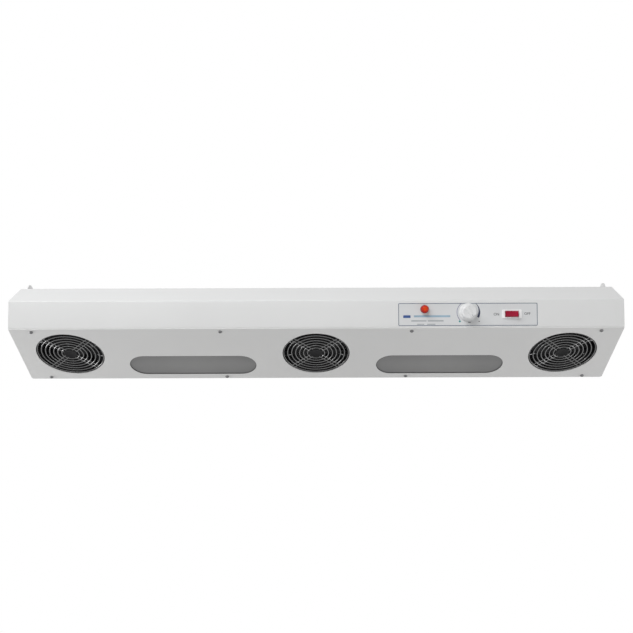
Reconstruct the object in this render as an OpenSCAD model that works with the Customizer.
// Overhead ionizing air blower: a long folded-steel housing that hangs above a bench by two ears.
// Three axial fans blow down through emitter rings in its underside, with a lit window between each
// two fans, and the front panel carries a pilot lamp, a fan speed knob and a mains rocker switch.
// +X runs along the housing, +Y to its back and +Z up. The origin lies in the plane of the underside,
// at mid length and in the middle of the depth from the front fold to the back.

/* [Housing] */
// Height from the underside to the top
body_height = 95; // [90:1:130]
// How far the front fold stands ahead of the underside's front edge
front_overhang = 28; // [20:1:36]
// Height of the front fold above the underside
bend_height = 39; // [38:1:46]
// How far the top's front edge stands behind the underside's front edge
top_setback = 5; // [0:1:20]
// Thickness of the housing's sheet
sheet = 1.2; // [1:0.1:1.5]
// Outer radius of the housing's folds
fold_radius = 2.4; // [2.2:0.1:4]
// Width of the front flange that the underside plate is screwed to
front_flange = 12; // [12:0.5:13]
// Width of the rear flange
rear_flange = 9; // [9:0.5:10]
// Thickness of the underside plate
plate_sheet = 1.2; // [1:0.1:2]
// Radius of the underside plate's rear corners
plate_corner = 4; // [2:0.5:6]
// Gap between a piece that slips into the housing and the sheet round it
slip_gap = 0.3; // [0.2:0.05:0.5]

/* [End plates] */
// Thickness of an end plate
end_sheet = 1.2; // [1:0.1:2]
// Width of the flange round an end plate
end_flange = 12; // [10:0.5:12]
// Height of the end plates' rear screws above the underside
end_screw_height = 60; // [30:1:75]
// Place of the end plates' top screws from the back
end_screw_inset = 30; // [20:1:45]

/* [Screws] */
// Radius of a sheet-metal screw's shank
screw_r = 1.7; // [1.5:0.1:2]
// Radius of its pan head
screw_head_r = 3.3; // [3:0.1:3.5]
// Height of its pan head
screw_head = 1.9; // [1.5:0.1:2.5]
// Length of its shank
screw_length = 8; // [6:0.5:10]
// Distance of the inner plate screws from mid length
inner_screw_x = 164; // [150:1:175]
// Distance of the outer plate screws from the housing's ends
outer_screw_inset = 37; // [33:1:40]
// Distance of the front plate screws from the underside's front edge
front_screw_inset = 8.2; // [8:0.1:8.4]
// Distance of the rear plate screws from the back
rear_screw_inset = 5.6; // [5.4:0.1:5.8]

/* [Hanging ears] */
// Width of an ear
ear_width = 28; // [24:1:40]
// Thickness of an ear
ear_sheet = 2; // [1.5:0.1:3]
// Height of an ear's hole above the top
ear_hole_height = 21.5; // [15:0.5:30]
// Radius of an ear's hole
ear_hole_r = 4; // [3:0.5:5]
// Distance of an ear's hole behind the top's front edge
ear_setback = 37; // [30:1:60]
// Length of an ear's foot
ear_foot = 34; // [30:1:50]
// Radius of an ear bolt
ear_bolt_r = 2.5; // [2:0.1:3]
// Spacing of an ear's two bolts
ear_bolt_spacing = 14; // [12:0.5:16]

/* [Fans] */
// Distance between neighbouring fans
fan_pitch = 436; // [430:1:560]
// Distance of the outer fans' axes from the housing's ends
fan_end_inset = 89; // [84:1:140]
// Width of a square fan frame, and of the outlet under it
fan_width = 119; // [110:0.5:125]
// Gap between the underside's front edge and the fan frames
fan_front_gap = 14.5; // [14:0.5:20]
// Gap between the fan frames and the back
fan_back_gap = 16.5; // [14:0.5:30]
// Height of a fan frame
fan_height = 38; // [38:1:42]
// Distance of a fan's corner holes from its sides
fan_hole_inset = 7; // [6.5:0.1:7.5]
// Radius of a corner hole
fan_hole_r = 2.2; // [2.15:0.05:2.5]
// Thickness of a fan frame's wall where its duct is widest
duct_wall = 2; // [1.6:0.1:2.4]
// Gap between the blade tips and the duct
blade_gap = 0.9; // [0.8:0.1:2]
// Radius of an impeller's hub
hub_r = 30; // [28:0.5:32]
// Blades on an impeller
blade_count = 5; // [4:1:5]
// Width of a blade along its slope
blade_chord = 36; // [32:1:38]
// Thickness of a blade
blade_sheet = 2; // [1.6:0.1:2.4]
// Slope of the blades from the plane of rotation
blade_slope = 32; // [28:1:34]
// Radius of a fan shaft
fan_shaft_r = 1.5; // [1.5:0.1:2]
// Running clearance round a shaft in its bearing or bush
shaft_gap = 0.03; // [0.02:0.01:0.08]
// Radius of a bearing
bearing_r = 4; // [4:0.1:4.5]
// Height of a bearing
bearing_height = 5; // [4:0.5:6]

/* [Finger guards] */
// Height of a finger guard
guard_height = 5; // [4:0.5:6]
// Rings in a guard
guard_rings = 7; // [5:1:8]
// Width of a guard ring
guard_ring_width = 2; // [1.5:0.1:2.4]
// Radius of the disc in the middle of a guard
guard_hub_r = 12; // [10:0.5:13]
// Centre distance of the two bars in each pair
guard_bar_spacing = 7; // [5:0.5:9]

/* [Emitters] */
// Height of an emitter ring
emitter_height = 12; // [10:1:14]
// Needles in each emitter ring
needle_count = 8; // [4:1:12]
// Radius of a needle
needle_r = 0.7; // [0.5:0.1:1]
// How far a needle stands into the air stream
needle_reach = 13; // [8:1:18]

/* [Windows] */
// Distance of each window's centre beyond the middle between its two fans
window_offset = 4; // [0:0.5:6]
// Gap between a lamp tray and the rear flange
window_back_gap = 0.7; // [0.5:0.1:3]
// Length of a window from end to end
window_length = 228; // [200:1:230]
// Width of a window
window_width = 56.6; // [50:0.2:57]
// How far a diffuser laps over the sheet round its window
window_lap = 4; // [3:0.1:4.2]
// Thickness of a diffuser
diffuser_sheet = 2; // [1.5:0.1:3]
// Height of a lamp tray
tray_height = 34; // [30:1:38]
// Thickness of a lamp tray
tray_sheet = 0.8; // [0.6:0.1:1]
// Radius of a lamp tube
tube_r = 8; // [7:0.5:9]
// Distance of a lamp tube's end inside the window's end
tube_inset = 10; // [9:0.5:16]

/* [Controls] */
// Distance of the label's middle from the housing's right end
label_inset = 266; // [262:1:275]
// Length of the label
label_length = 237; // [230:1:240]
// Width of the label up the panel
label_width = 39; // [38:0.5:40]
// Thickness of the label
label_sheet = 0.25; // [0.2:0.05:0.4]
// Distance of the pilot lamp before the label's middle
lamp_offset = 74; // [70:0.5:80]
// Height of the pilot lamp above the label's middle
lamp_rise = 8.5; // [4:0.5:9]
// Radius of the pilot lamp's lens
lens_r = 7.4; // [6.5:0.1:8.5]
// Height of the pilot lamp's lens
lens_height = 12; // [9:0.5:14]
// Height of the speed knob's axis above the label's middle
knob_rise = 4; // [2:0.5:4.5]
// Radius of the speed knob's foot
knob_r = 15.2; // [13:0.1:15.5]
// Height of the speed knob
knob_height = 19; // [15:0.5:22]
// Radius of the potentiometer's shaft
pot_shaft_r = 3; // [2.5:0.5:3]
// Distance of the rocker switch beyond the label's middle
switch_offset = 74.5; // [70:0.5:80]
// Height of the rocker switch above the label's middle
switch_rise = 0.5; // [0:0.5:3]
// Length of the switch's bezel
bezel_length = 33; // [31:0.5:34]
// Width of the switch's bezel
bezel_width = 15; // [14:0.1:16]
// Length of the rocker
rocker_length = 21.5; // [20:0.5:22]
// Width of the rocker
rocker_width = 10; // [8:0.2:10]
// Tilt of the rocker to either side of level
rocker_tilt = 10; // [8:1:12]

/* [Electrics] */
// Gap between a fan frame and the mounting ear of the module beside it
module_fan_gap = 6; // [4:0.5:20]
// Gap between the mounting ears of two modules
module_gap = 6; // [4:0.5:20]
// Length of the high-voltage module
hv_length = 110; // [90:1:125]
// Width of the high-voltage module
hv_width = 46; // [40:1:48]
// Height of the high-voltage module
hv_height = 40; // [30:1:45]
// Length of the lamp ballast
ballast_length = 90; // [80:1:100]
// Width of the lamp ballast
ballast_width = 36; // [30:1:40]
// Height of the lamp ballast
ballast_height = 26; // [20:1:32]
// Length of the speed control board
board_length = 70; // [60:1:75]
// Width of the speed control board
board_width = 44; // [40:1:46]
// Gap between the middle fan and the speed control board
board_gap = 27.5; // [24:0.5:30]
// Gap between the speed control board and the terminal block
terminal_gap = 39; // [30:0.5:42]
// Poles of the terminal block
terminal_poles = 6; // [6:1:8]
// Distance of the mains inlet beyond the terminal block's middle
inlet_offset = 75; // [60:1:76]
// Height of the mains inlet's centre above the underside
inlet_height = 66; // [60:1:70]
// Radius of a high-voltage cable
hv_cable_r = 2; // [1.5:0.1:2.2]
// Radius of a mains lead
lead_r = 1.5; // [1:0.1:2]

/* [Hidden] */
$fn = 64;
cut = 1;                       // how far a cutting solid runs past the face it opens
fit = 0.05;                    // gap round a piece that is fixed in its hole
face_gap = 0.3;                // gap between pieces that must not rub
fold_steps = 4;                // chords in each fold's arc
knuckle = 1.3;                 // radius of a lead's corner over the lead's own radius
knuckle_reach = 0.7;           // how near its corner a stretch of lead ends, over its radius

body_length = 2 * (fan_pitch + fan_end_inset);
underside_depth = fan_front_gap + fan_width + fan_back_gap;
front_edge = (front_overhang - underside_depth) / 2;
back_edge = front_edge + underside_depth;
fold_edge = front_edge - front_overhang;
top_edge = front_edge + top_setback;
half_length = body_length / 2;
panel_tilt = atan2(bend_height, -front_overhang);
panel_height = norm([front_overhang, bend_height]);
inner_top = body_height - sheet;
inner_back = back_edge - sheet;
flange_top = plate_sheet + sheet;

fan_y = front_edge + fan_front_gap + fan_width / 2;
outlet_r = fan_width / 2;
duct_r = fan_width / 2 - duct_wall;
fan_hole_spacing = fan_width - 2 * fan_hole_inset;
fan_places = [-fan_pitch, 0, fan_pitch];
guard_z = plate_sheet;
emitter_z = guard_z + guard_height;
fan_z = emitter_z + emitter_height;
fan_top = fan_z + fan_height;
blade_r = duct_r - blade_gap;
stud_r = fan_hole_r - 0.2;
nut_width = 7;
nut_height = 3.2;
spare_thread = 2.5;
mount_plate = 3;               // thickness of a fan's motor mount
fan_rim = 4;                   // thickness of the flange at each end of a fan frame
bearing_tube_r = bearing_r + 2;
hub_wall = 2;
hub_foot = fan_z + mount_plate + 3;
hub_top = fan_top - 4;
bearing_tube_top = hub_top - hub_wall - 6;

window_x = fan_pitch / 2 + window_offset;
diffuser_z = plate_sheet;
tray_z = diffuser_z + diffuser_sheet;
tray_length = window_length + 2 * window_lap;
tray_width = window_width + 2 * window_lap;
window_y = back_edge - rear_flange - window_back_gap - tray_width / 2;
tube_length = window_length - 2 * tube_inset;
tray_tab = 14;
tray_stud_x = tray_length / 2 + tray_tab / 2;
tube_z = tray_z + tray_height / 2;
holder_length = (tray_length - 2 * tray_sheet - tube_length) / 2 - face_gap;
tube_pin = 7;

label_x = half_length - label_inset;
label_up = panel_height / 2 - 1;
lamp_x = label_x - lamp_offset;
lamp_up = label_up + lamp_rise;
knob_x = label_x;
knob_up = label_up + knob_rise;
switch_x = label_x + switch_offset;
switch_up = label_up + switch_rise;
lamp_bore_r = 5;
pot_bush_r = 4.5;
pot_body_r = 12;
pot_body_depth = 12;
pot_nut = 3;
knob_z = label_sheet + 0.6;
knob_rest = 125;               // direction of the knob's bar at rest
pot_tab = 6;
switch_body_length = bezel_length - 4;
switch_body_width = bezel_width - 2;
switch_depth = 20;
switch_tab = 8;
bezel_height = 2;
rocker_pivot_z = label_sheet + 0.6;
rocker_pin_r = 1.2;
rocker_r = 13;
rocker_depth = 4.5;
rocker_rise = 7;
rocker_end_gap = 1;

intake_pitch = 9;
intake_slot = 5;
ear_nut_width = 8;
ear_nut_height = 4;
ear_bolt_head = 2.6;
needle_root = 1.6;             // length of a needle's root in its ring

module_y = front_edge + front_flange + 2 + hv_width / 2;
module_ear = 12;
hv_x = fan_places[0] + fan_width / 2 + module_fan_gap + module_ear + hv_length / 2;
ballast_x = hv_x + hv_length / 2 + 2 * module_ear + module_gap + ballast_length / 2;
board_x = fan_width / 2 + board_gap + board_length / 2;
board_sheet = 1.6;
board_spacer = 6;
sink_length = 14;
sink_width = 18;
sink_height = 20;
choke_r = 9;
choke_height = 11;
capacitor_r = 5;
capacitor_height = 19;
terminal_pitch = 9;
terminal_length = terminal_poles * terminal_pitch + 4;
terminal_x = board_x + board_length / 2 + terminal_gap + terminal_length / 2;
inlet_x = terminal_x + inlet_offset;
terminal_width = 20;
terminal_height = 15;
inlet_body_length = 27;
inlet_body_height = 20;
inlet_depth = 28;
inlet_hole_spacing = 40;
inlet_cavity = 20;
inlet_pin_recess = 5;
inlet_tab = 8;
trunk_y = front_edge + 3.6;
trunk_z = flange_top + hv_cable_r + face_gap;

// The housing's cross-section as [y, z] corners, anticlockwise from the front of its bottom flange
outline = [
    [front_edge - front_overhang * plate_sheet / bend_height, plate_sheet],
    [back_edge, plate_sheet],
    [back_edge, body_height],
    [top_edge, body_height],
    [fold_edge, bend_height]];

// ---- Outlines ----

function unit(v) = v / norm(v);

// Corners of a closed anticlockwise outline, each moved inwards by d from both of its edges
function inset(p, d) = [for (i = [0:len(p) - 1]) let(
    u = unit(p[i] - p[(i + len(p) - 1) % len(p)]),
    v = unit(p[(i + 1) % len(p)] - p[i]),
    nu = [-u[1], u[0]], nv = [-v[1], v[0]])
    p[i] + (nu + nv) * d / (1 + nu * nv)];

// The same outline with each corner turned by an arc of radius r
function folded(p, r) = [for (i = [0:len(p) - 1]) let(
    u = unit(p[(i + len(p) - 1) % len(p)] - p[i]),
    v = unit(p[(i + 1) % len(p)] - p[i]),
    half = acos(u * v) / 2,
    c = p[i] + unit(u + v) * r / sin(half),
    s = p[i] + u * r / tan(half) - c,
    start = atan2(s[1], s[0]))
    for (k = [0:fold_steps]) c + r * [cos(start + (180 - 2 * half) * k / fold_steps),
                                      sin(start + (180 - 2 * half) * k / fold_steps)]];

// ---- Shared shapes ----

// Extrudes a [y, z] outline along X from x
module along_x(x, length) translate([x, 0, 0]) rotate([90, 0, 90]) linear_extrude(length) children();

// Places its children on the front panel: x along the housing, up the panel, +Z out of it
module on_panel(x, up) translate([x, front_edge, 0]) rotate([panel_tilt, 0, 0])
    translate([0, up, 0]) children();

// Flat outline with round ends, centred, along X
module obround(length, width) {
    square([length - width, width], center = true);
    for (side = [-1, 1]) translate([side * (length - width) / 2, 0]) circle(d = width);
}

// Rectangle with round corners, centred
module rounded_square(length, width, r) {
    square([length - 2 * r, width], center = true);
    square([length, width - 2 * r], center = true);
    for (a = [-1, 1], b = [-1, 1]) translate([a * (length / 2 - r), b * (width / 2 - r)]) circle(r);
}

module ring(outer, inner, height) difference() {
    cylinder(r = outer, h = height);
    translate([0, 0, -cut]) cylinder(r = inner, h = height + 2 * cut);
}

// Pan-head screw seated on z = 0, its shank along +Z
module pan_screw(r, head_r, head, length) {
    translate([0, 0, -head / 2]) cylinder(r = head_r, h = head / 2);
    difference() {
        translate([0, 0, -head]) cylinder(r1 = head_r * 0.7, r2 = head_r, h = head / 2);
        translate([0, 0, -head - cut]) linear_extrude(cut + head * 0.4) {
            square([head_r * 1.1, 0.8], center = true);
            square([0.8, head_r * 1.1], center = true);
        }
    }
    cylinder(r = r, h = length);
}

// Hexagon nut on z = 0 with a clear bore
module hex_nut(width, bore, height) difference() {
    cylinder(d = width / cos(30), h = height, $fn = 6);
    translate([0, 0, -cut]) cylinder(r = bore, h = height + 2 * cut);
}

// Eight-sided lead along a chain of points, each stretch ending inside the knuckle at its corner
module lead(points, r) {
    last = len(points) - 1;
    for (i = [0:last - 1]) let(
        along = unit(points[i + 1] - points[i]),
        a = points[i] + along * (i > 0 ? knuckle_reach * r : 0),
        b = points[i + 1] - along * (i + 1 < last ? knuckle_reach * r : 0))
        translate(a) rotate([0, acos(along[2]), atan2(along[1], along[0])])
            cylinder(r = r, h = norm(b - a), $fn = 8);
    for (i = [1:last - 1]) translate(points[i])
        cylinder(r = r * knuckle, h = 2 * r * knuckle, center = true, $fn = 8);
}

// The four corners of a square pattern
module at_corners(spacing) for (a = [-1, 1], b = [-1, 1]) translate([a, b, 0] * spacing / 2) children();

// Places of the eight underside screws
module at_plate_screws() for (side = [-1, 1], x = [inner_screw_x, half_length - outer_screw_inset],
    y = [front_edge + front_screw_inset, back_edge - rear_screw_inset])
    translate([side * x, y, 0]) children();

// Places of the studs that the trays and the electrical modules are fixed by
function module_studs() = concat(
    [for (side = [-1, 1], end = [-1, 1])
        [side * window_x + end * tray_stud_x, window_y, tray_z + tray_sheet]],
    [for (end = [-1, 1]) [hv_x + end * (hv_length + module_ear) / 2, module_y, plate_sheet + 2]],
    [for (end = [-1, 1]) [ballast_x + end * (ballast_length + module_ear) / 2, module_y, plate_sheet + 2]]);

// ---- Housing ----

module housing_shell() color("whitesmoke") difference() {
    along_x(-half_length, body_length) difference() {
        polygon(folded(outline, fold_radius));
        polygon(folded(inset(outline, sheet), fold_radius - sheet));
        translate([front_edge + front_flange, 0])
            square([underside_depth - front_flange - rear_flange, flange_top + cut]);
    }
    at_plate_screws() cylinder(r = screw_r + fit, h = flange_top + fold_radius);
    for (side = [-1, 1]) {
        translate([side * (half_length - end_flange / 2), inner_back - cut, end_screw_height])
            rotate([-90, 0, 0]) cylinder(r = screw_r + 0.3, h = sheet + 2 * cut);
        translate([side * (half_length - end_flange / 2), back_edge - end_screw_inset, inner_top - cut])
            cylinder(r = screw_r + 0.3, h = sheet + 2 * cut);
        at_ear_bolts(side) translate([0, 0, -sheet - cut])
            cylinder(r = ear_bolt_r + 0.2, h = sheet + 2 * cut);
    }
    // Air intake above each fan: parallel slots inside the circle of the duct
    for (x = fan_places, row = [-5:5]) let(reach = sqrt(pow(duct_r - 4, 2) - pow(row * intake_pitch, 2)))
        translate([x, fan_y + row * intake_pitch, inner_top - cut])
            linear_extrude(sheet + 2 * cut) obround(2 * reach, intake_slot);
    on_panel(lamp_x, lamp_up) panel_hole(lamp_bore_r + fit);
    on_panel(knob_x, knob_up) panel_hole(pot_bush_r + fit);
    on_panel(switch_x, switch_up) translate([0, 0, -sheet - cut])
        linear_extrude(sheet + 2 * cut) square([switch_body_length + 2 * fit, switch_body_width + 2 * fit],
                                               center = true);
    translate([inlet_x, inner_back - cut, inlet_height]) rotate([-90, 0, 0]) linear_extrude(sheet + 2 * cut) {
        square([inlet_body_length + 2 * fit, inlet_body_height + 2 * fit], center = true);
        for (side = [-1, 1]) translate([side * inlet_hole_spacing / 2, 0]) circle(screw_r + fit);
    }
}
module panel_hole(r) translate([0, 0, -sheet - cut]) cylinder(r = r, h = sheet + 2 * cut);

// Flat sheet with three outlets, two windows and weld studs for all that it carries
module underside_plate() color("gainsboro") {
    difference() {
        linear_extrude(plate_sheet) difference() {
            union() {
                translate([-half_length, front_edge]) square([body_length, underside_depth - plate_corner]);
                translate([-half_length + plate_corner, back_edge - plate_corner])
                    square([body_length - 2 * plate_corner, plate_corner]);
                for (side = [-1, 1]) translate([side * (half_length - plate_corner), back_edge - plate_corner])
                    circle(plate_corner);
            }
            for (x = fan_places) translate([x, fan_y]) circle(outlet_r, $fn = 128);
            for (side = [-1, 1]) translate([side * window_x, window_y]) obround(window_length, window_width);
        }
        at_plate_screws() translate([0, 0, -cut]) cylinder(r = screw_r + 0.3, h = plate_sheet + 2 * cut);
    }
    for (x = fan_places) translate([x, fan_y, 0]) at_corners(fan_hole_spacing)
        translate([0, 0, plate_sheet])
            cylinder(r = stud_r, h = fan_top + nut_height + spare_thread - plate_sheet);
    for (p = module_studs()) translate([p[0], p[1], plate_sheet])
        cylinder(r = stud_r, h = p[2] + nut_height + spare_thread - plate_sheet);
}

// Pressed pan that closes one end: side -1 is the left end and 1 the right
module end_plate(side) color("whitesmoke") difference() {
    mirror([side > 0 ? 1 : 0, 0, 0]) {
        along_x(-half_length, end_sheet)
            polygon(folded(inset(outline, sheet + slip_gap), fold_radius - sheet));
        along_x(-half_length, end_flange) difference() {
            polygon(folded(inset(outline, sheet + slip_gap), fold_radius - sheet));
            polygon(folded(inset(outline, 2 * sheet + slip_gap), 0.4));
        }
        along_x(-half_length, end_sheet) translate([front_edge + front_flange + slip_gap, plate_sheet])
            square([underside_depth - front_flange - rear_flange - 2 * slip_gap, 3 * sheet]);
    }
    translate([side * (half_length - end_flange / 2), 0, 0]) {
        translate([0, inner_back - sheet - 2 * cut, end_screw_height])
            rotate([-90, 0, 0]) cylinder(r = screw_r + fit, h = sheet + 3 * cut);
        translate([0, back_edge - end_screw_inset, inner_top - sheet - 2 * cut])
            cylinder(r = screw_r + fit, h = sheet + 3 * cut);
    }
}
module end_plate_left() end_plate(-1);
module end_plate_right() end_plate(1);

module plate_screws() color("dimgray")
    at_plate_screws() pan_screw(screw_r, screw_head_r, screw_head, screw_length);

module end_plate_screws() color("dimgray") for (side = [-1, 1])
    translate([side * (half_length - end_flange / 2), 0, 0]) {
        translate([0, back_edge, end_screw_height]) rotate([90, 0, 0])
            pan_screw(screw_r, screw_head_r, screw_head, screw_length);
        translate([0, back_edge - end_screw_inset, body_height]) rotate([180, 0, 0])
            pan_screw(screw_r, screw_head_r, screw_head, screw_length);
    }

// Places of one ear's bolts on the top
module at_ear_bolts(side) for (k = [-1, 1])
    translate([side * (half_length - end_flange - ear_nut_width / 2 - 4), top_edge + ear_setback
               + k * ear_bolt_spacing / 2, body_height]) children();

// Angle bracket bolted to the top, with its upright leg flush with the end of the housing
module hanging_ear(side) color("whitesmoke") difference() {
    translate([side * half_length, top_edge + ear_setback, body_height]) {
        translate([side > 0 ? -ear_foot : 0, -ear_width / 2, 0]) cube([ear_foot, ear_width, ear_sheet]);
        translate([side > 0 ? -ear_sheet : 0, 0, 0]) rotate([90, 0, 90]) linear_extrude(ear_sheet) {
            translate([-ear_width / 2, 0]) square([ear_width, ear_hole_height]);
            translate([0, ear_hole_height]) circle(ear_width / 2);
        }
    }
    translate([side * half_length - (side > 0 ? ear_sheet : 0) - cut, top_edge + ear_setback,
               body_height + ear_hole_height])
        rotate([0, 90, 0]) cylinder(r = ear_hole_r, h = ear_sheet + 2 * cut);
    at_ear_bolts(side) translate([0, 0, -cut]) cylinder(r = ear_bolt_r + 0.2, h = ear_sheet + 2 * cut);
}
module hanging_ear_left() hanging_ear(-1);
module hanging_ear_right() hanging_ear(1);

module ear_bolts() color("silver") for (side = [-1, 1]) at_ear_bolts(side) translate([0, 0, ear_sheet])
    rotate([180, 0, 0]) pan_screw(ear_bolt_r, ear_bolt_r * 1.8, ear_bolt_head,
                                  ear_sheet + sheet + ear_nut_height + 2);

module ear_nuts() color("silver") for (side = [-1, 1]) at_ear_bolts(side)
    translate([0, 0, -sheet - ear_nut_height]) hex_nut(ear_nut_width, ear_bolt_r + fit, ear_nut_height);

// Identical nuts on the plate's studs
module stud_nuts() color("silver") {
    for (x = fan_places) translate([x, fan_y, fan_top]) at_corners(fan_hole_spacing)
        hex_nut(nut_width, stud_r + fit, nut_height);
    for (p = module_studs()) translate(p) hex_nut(nut_width, stud_r + fit, nut_height);
}

// ---- Fans ----

// Radius of the middle of ring i of a guard, from the inmost at 0
function guard_ring_r(i) = guard_hub_r + guard_ring_width + 1.2
    + i * (outlet_r - 2 - guard_hub_r - guard_ring_width - 1.2) / (guard_rings - 1);

// Moulded grille: rings, four pairs of bars on the diagonals, a disc and four corner ears
module finger_guard(x) color("black") translate([x, fan_y, guard_z]) difference() {
    union() {
        cylinder(r = guard_hub_r, h = 3);
        for (i = [0:guard_rings - 1]) rotate_extrude($fn = 96)
            translate([guard_ring_r(i), 0]) polygon([[-guard_ring_width / 2, 0.6], [-guard_ring_width / 4, 0],
                [guard_ring_width / 4, 0], [guard_ring_width / 2, 0.6], [guard_ring_width / 2, 3],
                [-guard_ring_width / 2, 3]]);
        ring(fan_width / 2, outlet_r - 2, guard_height);
        for (a = [45:90:315]) rotate(a) {
            for (s = [-1, 1]) translate([guard_hub_r - 2, s * guard_bar_spacing / 2 - 0.9, 1])
                cube([outlet_r - guard_hub_r + 1, 1.8, 3]);
            translate([outlet_r - 1, -6, 0])
                cube([fan_hole_spacing / sqrt(2) - outlet_r + 1, 12, guard_height]);
            translate([fan_hole_spacing / sqrt(2), 0, 0]) cylinder(r = 6, h = guard_height);
        }
    }
    at_corners(fan_hole_spacing) translate([0, 0, -cut]) cylinder(r = fan_hole_r, h = guard_height + 2 * cut);
}
module finger_guard_left() finger_guard(fan_places[0]);
module finger_guard_middle() finger_guard(fan_places[1]);
module finger_guard_right() finger_guard(fan_places[2]);

// Insulating spacer that holds the needles pointing at the fan's axis
module emitter_ring(x) color("#2b2b2b") translate([x, fan_y, emitter_z]) difference() {
    linear_extrude(emitter_height) difference() {
        rounded_square(fan_width, fan_width, 6);
        circle(duct_r, $fn = 128);
    }
    at_corners(fan_hole_spacing) translate([0, 0, -cut])
        cylinder(r = fan_hole_r, h = emitter_height + 2 * cut);
    for (i = [0:needle_count - 1]) rotate(needle_angle(i)) translate([duct_r - cut, 0, emitter_height / 2])
        rotate([0, 90, 0]) cylinder(r = needle_r + fit, h = needle_root + cut);
}
function needle_angle(i) = (i + 0.5) * 360 / needle_count;
module emitter_ring_left() emitter_ring(fan_places[0]);
module emitter_ring_middle() emitter_ring(fan_places[1]);
module emitter_ring_right() emitter_ring(fan_places[2]);

// Pointed needles, all alike, with their points in the air stream
module emitter_needles() color("silver") for (x = fan_places, i = [0:needle_count - 1])
    translate([x, fan_y, emitter_z + emitter_height / 2]) rotate(needle_angle(i))
        translate([duct_r + needle_root - fit, 0, 0]) rotate([0, -90, 0]) {
            cylinder(r = needle_r, h = needle_root + needle_reach - 4, $fn = 24);
            translate([0, 0, needle_root + needle_reach - 4])
                cylinder(r1 = needle_r, r2 = 0.1, h = 4, $fn = 24);
        }

// Square frame with a round duct, two flanges, and a motor mount on four struts at the outlet
module fan_frame(x) color("#2b2b2b") translate([x, fan_y, fan_z]) {
    difference() {
        union() {
            for (z = [0, fan_height - fan_rim]) translate([0, 0, z])
                linear_extrude(fan_rim) rounded_square(fan_width, fan_width, 6);
            translate([0, 0, fan_rim])
                cylinder(r = duct_r + duct_wall - 0.3, h = fan_height - 2 * fan_rim, $fn = 128);
            at_corners(fan_hole_spacing) translate([0, 0, fan_rim - cut])
                cylinder(r = fan_hole_r + 2, h = fan_height - 2 * (fan_rim - cut));
        }
        translate([0, 0, -cut]) cylinder(r = duct_r, h = fan_height + 2 * cut, $fn = 128);
        at_corners(fan_hole_spacing) translate([0, 0, -cut])
            cylinder(r = fan_hole_r, h = fan_height + 2 * cut);
    }
    difference() {
        union() {
            cylinder(r = hub_r, h = mount_plate);
            for (a = [20, 110, 200, 290]) rotate(a) translate([hub_r - 2, -2.5, 0])
                cube([duct_r - hub_r + 3, 5, mount_plate]);
            cylinder(r = bearing_tube_r, h = bearing_tube_top - fan_z);
        }
        translate([0, 0, 1.5]) cylinder(r = bearing_r + fit, h = bearing_tube_top - fan_z);
    }
}
module fan_frame_left() fan_frame(fan_places[0]);
module fan_frame_middle() fan_frame(fan_places[1]);
module fan_frame_right() fan_frame(fan_places[2]);

// Hub cup with sloped blades, open towards the motor
module impeller(x) color("#1f1f1f") translate([x, fan_y, 0]) {
    difference() {
        translate([0, 0, hub_foot]) cylinder(r = hub_r, h = hub_top - hub_foot);
        translate([0, 0, hub_foot - cut])
            cylinder(r = hub_r - hub_wall, h = hub_top - hub_foot - hub_wall + cut);
        translate([0, 0, hub_foot - cut]) cylinder(r = fan_shaft_r + fit, h = hub_top);
    }
    for (i = [0:blade_count - 1]) rotate(i * 360 / blade_count) intersection() {
        translate([0, 0, hub_foot + 1]) ring(blade_r, hub_r - hub_wall / 2, hub_top - hub_foot - 2);
        translate([0, 0, (hub_foot + hub_top) / 2]) rotate([blade_slope, 0, 0])
            translate([hub_r / 2, -blade_chord / 2, -blade_sheet / 2])
                cube([blade_r, blade_chord, blade_sheet]);
    }
}
module impeller_left() impeller(fan_places[0]);
module impeller_middle() impeller(fan_places[1]);
module impeller_right() impeller(fan_places[2]);

// Steel shaft fixed in the hub cup and turning in the two bearings
module fan_shaft(x) color("silver") translate([x, fan_y, fan_z + 1.5 + face_gap])
    cylinder(r = fan_shaft_r, h = hub_top - fan_z - 1.5 - face_gap);
module fan_shaft_left() fan_shaft(fan_places[0]);
module fan_shaft_middle() fan_shaft(fan_places[1]);
module fan_shaft_right() fan_shaft(fan_places[2]);

module fan_bearings(x) color("goldenrod") translate([x, fan_y, 0])
    for (z = [fan_z + 1.5, bearing_tube_top - bearing_height])
        translate([0, 0, z]) ring(bearing_r, fan_shaft_r + shaft_gap, bearing_height);
module fan_bearings_left() fan_bearings(fan_places[0]);
module fan_bearings_middle() fan_bearings(fan_places[1]);
module fan_bearings_right() fan_bearings(fan_places[2]);

// Laminations with four poles, and a winding on each pole
module fan_stator(x) color("#b5651d") translate([x, fan_y, fan_z + mount_plate]) {
    ring(10, bearing_tube_r + fit, 20);
    for (a = [0:90:270]) rotate(a) {
        translate([9, -3, 4]) cube([12, 6, 12]);
        translate([11, -5, 2]) cube([8, 10, 16]);
        intersection() {
            translate([0, 0, 4]) ring(hub_r - hub_wall - 4, hub_r - hub_wall - 8, 12);
            translate([0, -11, 4]) cube([hub_r, 22, 12]);
        }
    }
}
module fan_stator_left() fan_stator(fan_places[0]);
module fan_stator_middle() fan_stator(fan_places[1]);
module fan_stator_right() fan_stator(fan_places[2]);

// ---- Windows ----

// Frosted sheet that lies on the plate behind a window
module diffuser(side) color("gray") translate([side * window_x, window_y, diffuser_z])
    linear_extrude(diffuser_sheet) rounded_square(tray_length, tray_width, 3);
module diffuser_left() diffuser(-1);
module diffuser_right() diffuser(1);

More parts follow.
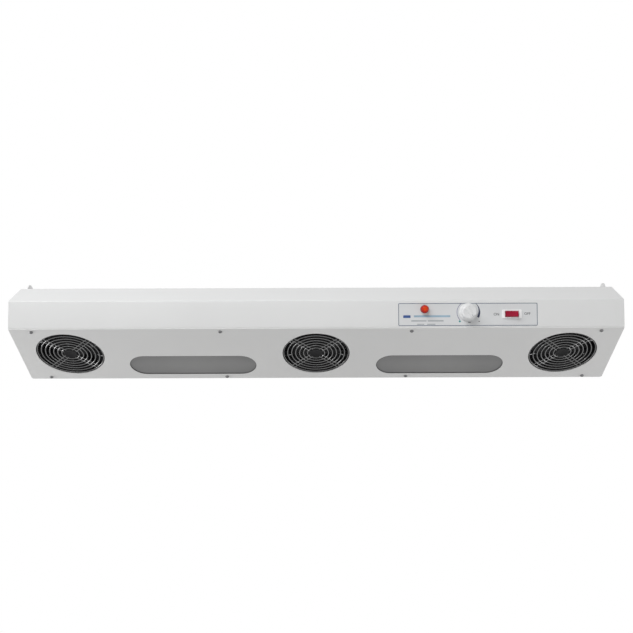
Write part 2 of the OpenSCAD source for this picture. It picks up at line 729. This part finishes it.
// White tray that clamps the diffuser by its rim and throws the lamp's light down
module lamp_tray(side) color("white") translate([side * window_x, window_y, tray_z]) {
    difference() {
        translate([-tray_length / 2, -tray_width / 2, 0]) cube([tray_length, tray_width, tray_height]);
        translate([-tray_length / 2 + tray_sheet, -tray_width / 2 + tray_sheet, -cut])
            cube([tray_length - 2 * tray_sheet, tray_width - 2 * tray_sheet, tray_height - tray_sheet + cut]);
    }
    for (end = [-1, 1]) translate([end * tray_stud_x, 0, 0]) difference() {
        translate([-tray_tab / 2 - (end > 0 ? tray_sheet / 2 : 0), -12, 0])
            cube([tray_tab + tray_sheet / 2, 24, tray_sheet]);
        translate([0, 0, -cut]) cylinder(r = fan_hole_r, h = tray_sheet + 2 * cut);
    }
}
module lamp_tray_left() lamp_tray(-1);
module lamp_tray_right() lamp_tray(1);

// Glass tube with a cap and two pins at each end
module lamp_tube(side) color("white") translate([side * window_x, window_y, tube_z]) rotate([0, 90, 0]) {
    translate([0, 0, -tube_length / 2]) cylinder(r = tube_r, h = tube_length);
    for (end = [0, 1]) mirror([0, 0, end]) for (y = [-1, 1])
        translate([0, y * tube_r * 0.3, tube_length / 2]) cylinder(r = 1.1, h = tube_pin, $fn = 24);
}
module lamp_tube_left() lamp_tube(-1);
module lamp_tube_right() lamp_tube(1);

// The two sockets that hold the tube's pins, fixed to the ends of the tray
module lamp_holders(side) color("ivory") translate([side * window_x, window_y, tube_z]) for (end = [0, 1])
    mirror([end, 0, 0]) difference() {
        translate([tube_length / 2 + face_gap, -tube_r, -tube_r])
            cube([holder_length, 2 * tube_r, tube_r + tray_z + tray_height - tray_sheet - tube_z]);
        for (y = [-1, 1]) translate([tube_length / 2, y * tube_r * 0.3, 0]) rotate([0, 90, 0])
            cylinder(r = 1.1 + fit, h = tube_pin + face_gap);
    }
module lamp_holders_left() lamp_holders(-1);
module lamp_holders_right() lamp_holders(1);

// ---- Front panel ----

module panel_label() color("aliceblue") on_panel(label_x, label_up) difference() {
    linear_extrude(label_sheet) rounded_square(label_length, label_width, 2);
    translate([lamp_x - label_x, lamp_up - label_up, -cut]) cylinder(r = lamp_bore_r + fit, h = 2 * cut);
    translate([knob_x - label_x, knob_up - label_up, -cut]) cylinder(r = pot_bush_r + fit, h = 2 * cut);
    translate([switch_x - label_x, switch_up - label_up, -cut]) linear_extrude(2 * cut)
        square([switch_body_length + 2 * fit, switch_body_width + 2 * fit], center = true);
}

// Lamp holder pushed through the panel from the front, with its flange under the lens
module pilot_lamp_body() color("white") on_panel(lamp_x, lamp_up) {
    translate([0, 0, label_sheet]) cylinder(r = lens_r - 0.5, h = 1);
    translate([0, 0, -18]) cylinder(r = lamp_bore_r, h = 18 + label_sheet + 0.5);
    for (y = [-2, 2]) translate([-0.4, y - 1, -26]) cube([0.8, 2, 9]);
}

// Domed lens over a neck, fluted round its foot
module pilot_lamp_lens() color("orangered") on_panel(lamp_x, lamp_up) translate([0, 0, label_sheet + 1])
    rotate_extrude() polygon(concat([[0, 0], [lens_r, 0], [lens_r, 2.5]],
        [for (a = [0:12:84]) [lens_r * (1 - 0.12 * a / 84) * cos(a),
                              2.5 + (lens_height - 2.5) * sin(a)]], [[0, lens_height]]));

// Tapered knob with a skirt and a grip bar across its face
module speed_knob() color("white") on_panel(knob_x, knob_up) translate([0, 0, knob_z]) difference() {
    union() {
        cylinder(r = knob_r, h = 2.5);
        translate([0, 0, 2.5]) cylinder(r1 = knob_r - 1, r2 = knob_r - 2.6, h = knob_height - 4.5);
        rotate(knob_rest) translate([-knob_r + 3.2, -3, knob_height - 2.2]) cube([2 * knob_r - 6.4, 6, 2.2]);
    }
    translate([0, 0, -cut]) cylinder(r = pot_shaft_r + fit, h = knob_height - 4);
    translate([0, 0, -cut]) cylinder(r = pot_bush_r + 4, h = cut + pot_nut + 0.4);
}

// Shaft that the knob grips, turning in the potentiometer's bush
module knob_shaft() color("silver") on_panel(knob_x, knob_up) translate([0, 0, -sheet - 6])
    cylinder(r = pot_shaft_r, h = sheet + 6 + knob_z + knob_height - 5.5);

// Round potentiometer behind the panel, its threaded bush through the panel
module potentiometer() color("dimgray") on_panel(knob_x, knob_up) difference() {
    union() {
        translate([0, 0, -sheet - pot_body_depth]) cylinder(r = pot_body_r, h = pot_body_depth);
        translate([0, 0, -sheet - cut]) cylinder(r = pot_bush_r, h = sheet + cut + label_sheet + pot_nut);
        for (x = [-5, 0, 5]) translate([x - 0.6, -1, -sheet - pot_body_depth - pot_tab])
            cube([1.2, 2, pot_tab + 1]);
    }
    translate([0, 0, -sheet - 6 - face_gap]) cylinder(r = pot_shaft_r + shaft_gap, h = sheet + 30);
}

module potentiometer_nut() color("silver") on_panel(knob_x, knob_up) translate([0, 0, label_sheet])
    hex_nut(14, pot_bush_r + fit, 2);

// Snap-in switch housing: bezel outside the panel, box and three tabs behind it
module switch_body() color("white") on_panel(switch_x, switch_up) difference() {
    union() {
        translate([0, 0, label_sheet]) linear_extrude(bezel_height)
            rounded_square(bezel_length, bezel_width, 1.5);
        translate([-switch_body_length / 2, -switch_body_width / 2, -switch_depth])
            cube([switch_body_length, switch_body_width, switch_depth + label_sheet + bezel_height / 2]);
        for (x = [-9, 0, 9]) translate([x - 2.4, -0.4, -switch_depth - switch_tab])
            cube([4.8, 0.8, switch_tab + 1]);
    }
    translate([-rocker_length / 2 - rocker_end_gap, -rocker_width / 2 - face_gap, -switch_depth + 3])
        cube([rocker_length + 2 * rocker_end_gap, rocker_width + 2 * face_gap, switch_depth + 20]);
    translate([0, switch_body_width / 2 + cut, rocker_pivot_z]) rotate([90, 0, 0])
        cylinder(r = rocker_pin_r + shaft_gap, h = switch_body_width + 2 * cut);
}

// Rocker with the left end pressed in, on two trunnions across the housing
module switch_rocker() color("crimson") on_panel(switch_x, switch_up) translate([0, 0, rocker_pivot_z]) {
    rotate([0, -rocker_tilt, 0]) intersection() {
        translate([-rocker_length / 2, -rocker_width / 2, -rocker_depth])
            cube([rocker_length, rocker_width, rocker_depth + rocker_rise]);
        difference() {
            translate([0, rocker_width, 0]) rotate([90, 0, 0]) cylinder(r = rocker_r, h = 2 * rocker_width);
            translate([0, rocker_width, rocker_r + 12]) rotate([90, 0, 0])
                cylinder(r = rocker_r + 7, h = 2 * rocker_width, $fn = 128);
        }
    }
    translate([0, switch_body_width / 2 - 0.3, 0]) rotate([90, 0, 0])
        cylinder(r = rocker_pin_r, h = switch_body_width - 0.6);
}

// ---- Electrics ----

// Flat-bottomed box with a mounting ear at each end, standing on the plate
module boxed_module(x, length, width, height) translate([x, module_y, plate_sheet]) difference() {
    union() {
        translate([-length / 2, -width / 2, 0]) cube([length, width, height]);
        translate([-length / 2 - module_ear, -8, 0]) cube([length + 2 * module_ear, 16, 2]);
    }
    for (end = [-1, 1]) translate([end * (length + module_ear) / 2, 0, -cut])
        cylinder(r = fan_hole_r, h = 2 + 2 * cut);
}

module high_voltage_module() color("#202024") boxed_module(hv_x, hv_length, hv_width, hv_height);

module lamp_ballast() color("gainsboro")
    boxed_module(ballast_x, ballast_length, ballast_width, ballast_height);

// Circuit board on four spacers, with a heat sink, a choke and a capacitor
module speed_control_board() color("seagreen") translate([board_x, module_y, plate_sheet]) {
    for (a = [-1, 1], b = [-1, 1]) translate([a * (board_length / 2 - 4), b * (board_width / 2 - 4), 0])
        cylinder(r = 3, h = board_spacer + board_sheet / 2);
    translate([-board_length / 2, -board_width / 2, board_spacer])
        cube([board_length, board_width, board_sheet]);
    translate([-board_length / 2 + 8, -sink_width / 2, board_spacer + board_sheet / 2]) {
        for (k = [0:3]) translate([k * (sink_length - 2) / 3, 0, 0]) cube([2, sink_width, sink_height]);
        cube([sink_length, sink_width, 3]);
    }
    translate([choke_r - 3, 0, board_spacer + board_sheet / 2]) cylinder(r = choke_r, h = choke_height);
    translate([board_length / 2 - 11, -6, board_spacer + board_sheet / 2])
        cylinder(r = capacitor_r, h = capacitor_height);
}

// Row of screw terminals in an insulating block
module terminal_block() color("ivory") translate([terminal_x, module_y, plate_sheet]) difference() {
    union() {
        translate([-terminal_length / 2, -terminal_width / 2, 0]) cube([terminal_length, terminal_width, 8]);
        for (k = [0:terminal_poles])
            translate([(k - terminal_poles / 2) * terminal_pitch - 0.8, -terminal_width / 2, 0])
                cube([1.6, terminal_width, terminal_height]);
        translate([-terminal_length / 2, -3, 0]) cube([terminal_length, 6, terminal_height - 3]);
    }
    for (k = [0:terminal_poles - 1], y = [-1, 1])
        translate([(k + 0.5 - terminal_poles / 2) * terminal_pitch, y * 6.5, 5])
            cylinder(r = 2, h = terminal_height, $fn = 24);
}

// Three-pin appliance inlet, flanged outside the back
module mains_inlet() color("#1c1c1c") translate([inlet_x, back_edge, inlet_height]) rotate([-90, 0, 0]) {
    difference() {
        union() {
            linear_extrude(2.5) rounded_square(inlet_hole_spacing + 10, 24, 4);
            translate([-inlet_body_length / 2, -inlet_body_height / 2, -inlet_depth])
                cube([inlet_body_length, inlet_body_height, inlet_depth + 1]);
        }
        translate([-inlet_body_length / 2 + 1.4, -inlet_body_height / 2 + 1.6, -inlet_cavity])
            cube([inlet_body_length - 2.8, inlet_body_height - 3.2, inlet_cavity + 3.5]);
        for (side = [-1, 1]) translate([side * inlet_hole_spacing / 2, 0, -cut])
            cylinder(r = screw_r + 0.3, h = 2.5 + 2 * cut);
    }
    for (p = [[-7, 2], [7, 2], [0, -2]])
        translate([p[0] - 1, p[1] - 2, -inlet_depth - inlet_tab])
            cube([2, 4, inlet_depth + inlet_tab - inlet_pin_recess]);
}

module inlet_screws() color("silver") for (side = [-1, 1])
    translate([inlet_x + side * inlet_hole_spacing / 2, back_edge + 2.5, inlet_height])
        rotate([90, 0, 0]) pan_screw(screw_r, 3, 1.6, 9);

// Cable along the front flange, with a branch to the module and one to each emitter ring
module high_voltage_cable() color("firebrick") {
    branches = concat([for (x = fan_places) [x + (x > 0 ? -20 : 20), fan_y - fan_width / 2,
                                             emitter_z + emitter_height / 2]],
                      [[hv_x, module_y - hv_width / 2, hv_height / 2]]);
    lead([[fan_places[0] + 20, trunk_y, trunk_z], [fan_places[2] - 20, trunk_y, trunk_z]], hv_cable_r);
    for (b = branches) {
        lead([[b[0], trunk_y, trunk_z], [b[0], trunk_y, b[2]], b], hv_cable_r * 0.9);
    }
}

// Point of the front panel's own frame in the housing's frame
function panel_point(x, up, out) = [x, front_edge + up * cos(panel_tilt) - out * sin(panel_tilt),
                                    up * sin(panel_tilt) + out * cos(panel_tilt)];

// Place of terminal k's hole in the front (-1) or rear (1) row
function terminal(k, row) = [terminal_x + (k + 0.5 - terminal_poles / 2) * terminal_pitch,
                             module_y + row * 6.5, plate_sheet + 5];

// Leads between the inlet, the terminal block, the controls, the fans, the ballast and the trays
module mains_wiring() color("royalblue") {
    loom_y = front_edge + 8;
    board_z = plate_sheet + board_spacer + board_sheet + fit;
    low_run = fan_z + 15.8;
    high_run = fan_top + nut_height + 2.6;
    ballast_top = plate_sheet + ballast_height;
    ballast_end = ballast_x + ballast_length / 2 - 8;
    hv_end = hv_x + hv_length / 2 - 15;
    right_tray = window_x - tray_length / 2 + 26;
    rear_y = back_edge - 9;
    rear_z = high_run + 8;
    inlet_y = back_edge - inlet_depth - inlet_tab;
    tray_top = tray_z + tray_height;
    live = terminal(4, 1);
    neutral = terminal(5, 1);
    to_switch = terminal(5, -1);
    to_lamp = terminal(1, -1);
    to_ballast = terminal(0, -1);
    to_module = terminal(2, -1);
    switch_end = -switch_depth - switch_tab - fit;
    pot_end = -sheet - pot_body_depth - pot_tab - fit;
    fan_lead_z = fan_z + 30;
    // Inlet to the terminal block, and its earth to the top of the housing
    lead([[inlet_x - 7, inlet_y, inlet_height - 2], [inlet_x - 7, 20, inlet_height - 2],
          [live[0], 20, 46], live + [0, 0, 20], live], lead_r);
    lead([[inlet_x + 7, inlet_y, inlet_height - 2], [inlet_x + 7, 30, inlet_height + 4],
          [neutral[0], 30, 60], neutral + [0, 0, 34], neutral], lead_r);
    lead([[inlet_x, inlet_y, inlet_height + 2], [inlet_x, inlet_y - 9, inlet_height + 2],
          [inlet_x, inlet_y - 9, inner_top]], lead_r);
    // Switch and potentiometer
    lead([to_switch, to_switch + [0, 0, 24], panel_point(switch_x - 9, switch_up, switch_end - 8),
          panel_point(switch_x - 9, switch_up, switch_end)], lead_r);
    lead([panel_point(switch_x, switch_up, switch_end), panel_point(switch_x, switch_up, switch_end - 8),
          [inlet_x, module_y - 6, 50], [board_x + 20, module_y + 14, 45],
          [board_x + 20, module_y + 14, board_z]], lead_r);
    lead([panel_point(knob_x, knob_up, pot_end), panel_point(knob_x, knob_up, pot_end - 8),
          [board_x + 28, module_y - 16, 22], [board_x + 28, module_y - 16, board_z]], lead_r);
    // Pilot lamp
    lead([panel_point(lamp_x, lamp_up, -26 - fit), panel_point(lamp_x, lamp_up, -32),
          to_lamp + [0, 0, 24], to_lamp], lead_r);
    // Ballast, and from it each lamp tray
    lead([to_ballast, to_ballast + [0, 0, 28], [board_x + board_length / 2 + 3, loom_y, low_run],
          [-fan_width / 2 - 15.5, loom_y, low_run], [ballast_end, module_y, low_run],
          [ballast_end, module_y, ballast_top]], lead_r);
    lead([[ballast_x - 30, module_y, ballast_top], [ballast_x - 30, module_y, tray_top + 8],
          [ballast_x - 30, window_y - 17, tray_top + 8], [ballast_x - 30, window_y - 17, tray_top]], lead_r);
    lead([[ballast_x + 25, module_y + 14, ballast_top], [ballast_x + 25, module_y + 14, rear_z],
          [ballast_x + 25, rear_y, rear_z], [right_tray, rear_y, rear_z], [right_tray, window_y, rear_z - 10],
          [right_tray, window_y, tray_top]], lead_r);
    // High-voltage module
    lead([to_module, to_module + [0, 0, 38], [board_x + board_length / 2 + 13, loom_y, high_run],
          [hv_end + 5, loom_y, high_run], [hv_end, module_y, high_run - 12],
          [hv_end, module_y, plate_sheet + hv_height]], lead_r);
    // Fans to the speed control board
    lead([[fan_places[2] - 40, fan_y - fan_width / 2, fan_lead_z], [fan_places[2] - 40, loom_y, fan_lead_z],
          [board_x + 28, loom_y, fan_lead_z], [board_x - 10, module_y + 8, fan_lead_z],
          [board_x - 10, module_y + 8, board_z]], lead_r);
    lead([[fan_places[1] + 40, fan_y - fan_width / 2, fan_lead_z], [fan_places[1] + 40, loom_y, fan_lead_z],
          [fan_width / 2 + 15.5, loom_y, fan_lead_z], [board_x - 30, module_y + 18, 40],
          [board_x - 30, module_y + 18, board_z]], lead_r);
    lead([[fan_places[0] + 40, fan_y - fan_width / 2, fan_lead_z + 6],
          [fan_places[0] + 40, loom_y, fan_lead_z + 6], [fan_width / 2 + 22.5, loom_y, fan_lead_z + 7],
          [board_x - 22, module_y + 14, fan_lead_z + 2], [board_x - 22, module_y + 14, board_z]], lead_r);
}

housing_shell();
underside_plate();
end_plate_left();
end_plate_right();
plate_screws();
end_plate_screws();
hanging_ear_left();
hanging_ear_right();
ear_bolts();
ear_nuts();
stud_nuts();
panel_label();
pilot_lamp_body();
pilot_lamp_lens();
speed_knob();
knob_shaft();
potentiometer();
potentiometer_nut();
switch_body();
switch_rocker();
diffuser_left();
diffuser_right();
lamp_tray_left();
lamp_tray_right();
lamp_tube_left();
lamp_tube_right();
lamp_holders_left();
lamp_holders_right();
lamp_ballast();
high_voltage_module();
speed_control_board();
terminal_block();
mains_inlet();
inlet_screws();
high_voltage_cable();
mains_wiring();
emitter_needles();
finger_guard_left();
finger_guard_middle();
finger_guard_right();
emitter_ring_left();
emitter_ring_middle();
emitter_ring_right();
fan_frame_left();
fan_frame_middle();
fan_frame_right();
impeller_left();
impeller_middle();
impeller_right();
fan_shaft_left();
fan_shaft_middle();
fan_shaft_right();
fan_bearings_left();
fan_bearings_middle();
fan_bearings_right();
fan_stator_left();
fan_stator_middle();
fan_stator_right();
